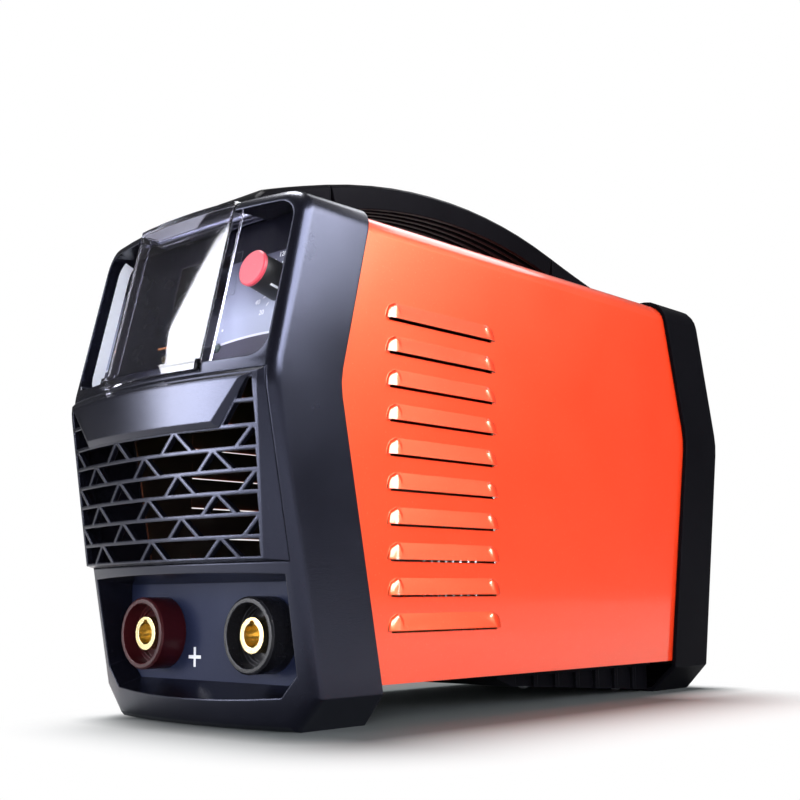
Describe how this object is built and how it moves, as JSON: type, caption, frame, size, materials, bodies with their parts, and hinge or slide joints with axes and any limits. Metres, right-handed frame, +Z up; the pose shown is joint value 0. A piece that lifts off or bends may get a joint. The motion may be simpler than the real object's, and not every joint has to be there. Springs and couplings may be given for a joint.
{
  "type": "stick welding inverter",
  "caption": "Portable stick welding inverter with a louvred cover, arched handle, flip-up visor over its panel, air grille and recessed weld cable sockets.",
  "frame": {"origin": "on the floor, under the middle of the overall width and length", "axes": "+Z up, -Y out of the front with the sockets, +X to the side of the current knob"},
  "size_m": [0.188, 0.4853, 0.3467],
  "materials": {
    "black_moulding": "fine-grained satin",
    "cover_paint": "satin powder coat",
    "panel_print": "printed film",
    "recess_slate": "satin",
    "clear_plastic": "polished clear",
    "smoked_plastic": "polished smoked",
    "red_plastic": "satin",
    "knob_black": "satin",
    "maroon_plastic": "moulded gloss",
    "socket_black": "moulded gloss",
    "fan_black": "moulded",
    "brass": "turned",
    "copper": "rolled strip",
    "steel": "zinc plated",
    "dark_sheet": "black paint",
    "aluminium": "extruded",
    "circuit_board": "solder mask",
    "ferrite": "sintered",
    "winding": "enamelled wire",
    "component_black": "sleeved",
    "green_lens": "translucent",
    "amber_lens": "translucent"
  },
  "bodies": {
    "case": {"base_skid": "black_moulding", "base_tray": "steel", "bridge_rectifier": "component_black", "cable_gland": "socket_black", "capacitor_1": "component_black", "capacitor_2": "component_black", "capacitor_3": "component_black", "control_board": "circuit_board", "control_panel": "panel_print", "cover": "cover_paint", "display_module": "component_black", "display_window": "smoked_plastic", "earth_nut": "brass", "earth_stud": "steel", "fan_frame": "fan_black", "fan_guard": "steel", "fault_lamp": "amber_lens", "front_bezel": "black_moulding", "front_grille": "black_moulding", "gland_cap": "socket_black", "gland_lock_nut": "socket_black", "handle_grip": "black_moulding", "handle_root_front": "black_moulding", "handle_root_rear": "black_moulding", "heat_sink_left": "aluminium", "heat_sink_right": "aluminium", "main_board": "circuit_board", "negative_busbar": "copper", "negative_socket_collar": "socket_black", "negative_socket_contact": "brass", "negative_socket_nut": "brass", "output_choke": "winding", "positive_busbar": "copper", "positive_socket_collar": "maroon_plastic", "positive_socket_contact": "brass", "positive_socket_nut": "brass", "potentiometer": "steel", "power_lamp": "green_lens", "rear_bezel": "black_moulding", "rear_panel": "dark_sheet", "socket_plate": "recess_slate", "switch_housing": "socket_black", "transformer_core": "ferrite", "transformer_winding": "winding", "visor_hinge_pin": "steel"},
    "visor": {"visor": "clear_plastic"},
    "knob": {"current_knob": "knob_black", "knob_cap": "red_plastic", "potentiometer_shaft": "steel"},
    "rocker": {"switch_rocker": "knob_black"},
    "rotor": {"fan_rotor": "fan_black"}
  },
  "joints": [
    {"name": "visor_hinge", "type": "hinge", "parent": "case", "child": "visor", "pos_m": [0, -0.19413, 0.2865], "axis": [-1, 0, 0], "range_deg": [0, 100]},
    {"name": "current_knob_turn", "type": "hinge", "parent": "case", "child": "knob", "pos_m": [0.0695, -0.19748, 0.239], "axis": [0, -0.9712, 0.2382], "range_deg": [-15, 285]},
    {"name": "power_switch_rock", "type": "hinge", "parent": "case", "child": "rocker", "pos_m": [-0.04, 0.20123, 0.222], "axis": [-1, 0, 0], "range_deg": [0, 20]},
    {"name": "fan_spin", "type": "hinge", "parent": "case", "child": "rotor", "pos_m": [0, 0.18723, 0.108], "axis": [0, 1, 0], "continuous": true}
  ]
}
